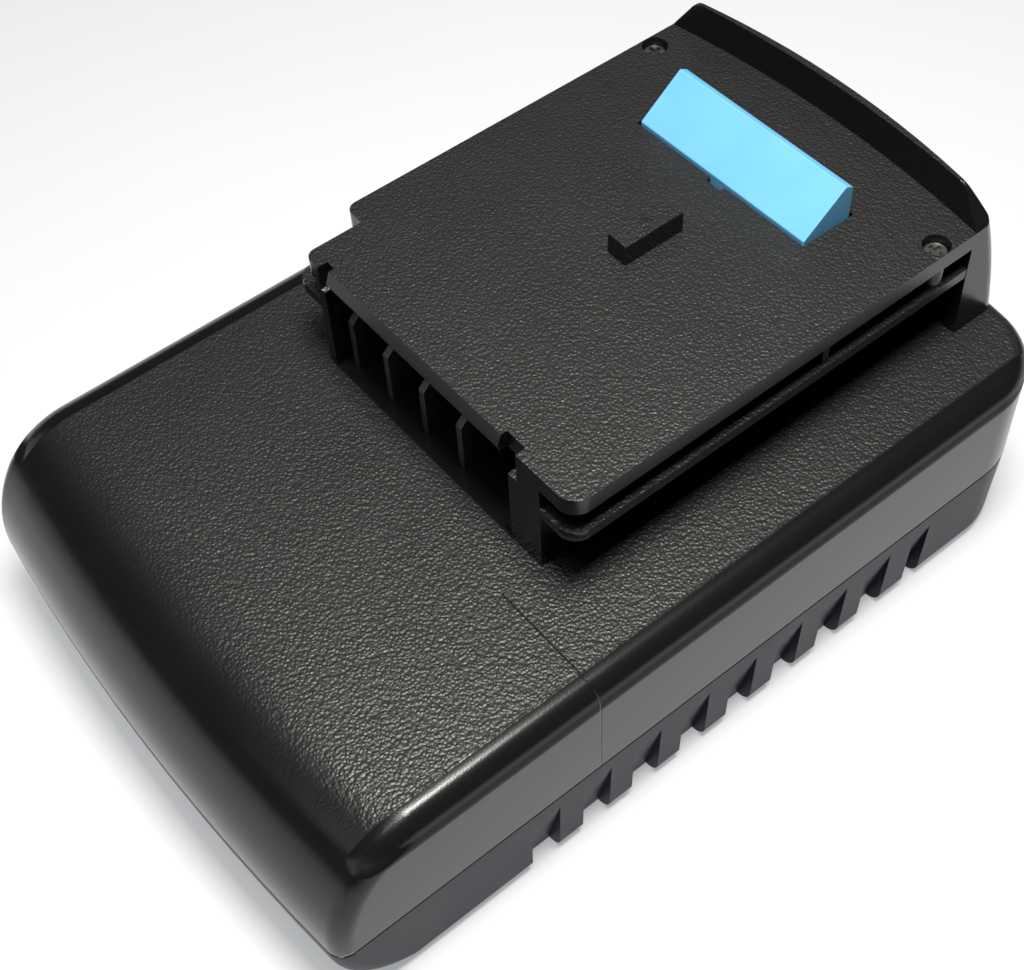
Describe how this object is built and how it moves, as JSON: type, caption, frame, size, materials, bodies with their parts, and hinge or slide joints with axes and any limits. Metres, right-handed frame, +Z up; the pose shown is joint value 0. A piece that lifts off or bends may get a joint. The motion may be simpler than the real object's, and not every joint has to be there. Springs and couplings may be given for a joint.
{
  "type": "power tool battery pack",
  "caption": "Slide-on battery pack with a rail tower, an open terminal bay, a sprung ramp latch with a rear thumb pad, and grooved grip sides.",
  "frame": {"origin": "on the surface that the pack stands on, under the middle of its outline", "axes": "+Z up, +Y towards the end that has the latch, +X to the right seen from above with the latch away from the viewer"},
  "size_m": [0.074, 0.1138, 0.0506],
  "materials": {
    "housing_upper": "black moulded plastic, grained on top and smooth on the rounded edges",
    "housing_lower": "very dark grey moulded plastic, finely textured",
    "latch_blue": "sky blue moulded plastic, satin",
    "inner_plastic": "plain dark moulded plastic",
    "holder_plastic": "plain grey moulded plastic",
    "spring_steel": "bright drawn spring wire",
    "blade_nickel": "dull nickel plate",
    "strap_nickel": "plain nickel strip",
    "screw_steel": "zinc-plated steel",
    "cell_sleeve": "heat-shrunk plastic sleeve over a steel can",
    "board_green": "green solder mask on glass-fibre board",
    "component_black": "moulded black component cases",
    "insulation": "pale insulating paper",
    "foam": "closed-cell foam"
  },
  "bodies": {
    "pack": {"upper_housing": "housing_upper", "lower_housing": "housing_lower", "latch_retainer": "inner_plastic", "latch_spring_left": "spring_steel", "latch_spring_right": "spring_steel", "cell_1": "cell_sleeve", "cell_2": "cell_sleeve", "cell_3": "cell_sleeve", "cell_4": "cell_sleeve", "cell_5": "cell_sleeve", "cell_holder_left": "holder_plastic", "cell_holder_right": "holder_plastic", "insulating_rings": "insulation", "strap_negative": "strap_nickel", "strap_positive": "strap_nickel", "strap_1_2": "strap_nickel", "strap_2_3": "strap_nickel", "strap_3_4": "strap_nickel", "strap_4_5": "strap_nickel", "insulating_sheet_left": "insulation", "insulating_sheet_right": "insulation", "foam_pads": "foam", "circuit_board": "board_green", "terminal_block": "component_black", "terminal_blade_1": "blade_nickel", "terminal_blade_2": "blade_nickel", "terminal_blade_3": "blade_nickel", "terminal_blade_4": "blade_nickel", "power_transistors": "component_black", "controller_chip": "component_black", "shunt_resistor": "component_black", "thermistor": "component_black", "rail_screws": "screw_steel", "retainer_screws": "screw_steel", "case_screws": "screw_steel", "board_screws": "screw_steel"},
    "latch": {"latch": "latch_blue"}
  },
  "joints": [
    {"name": "latch_press", "type": "slide", "parent": "pack", "child": "latch", "axis": [0, 0, -1], "range_m": [0, 0.005], "stiffness_N_per_m": 800, "springref_m": -0.004, "deforming": ["latch_spring_left", "latch_spring_right"]}
  ]
}
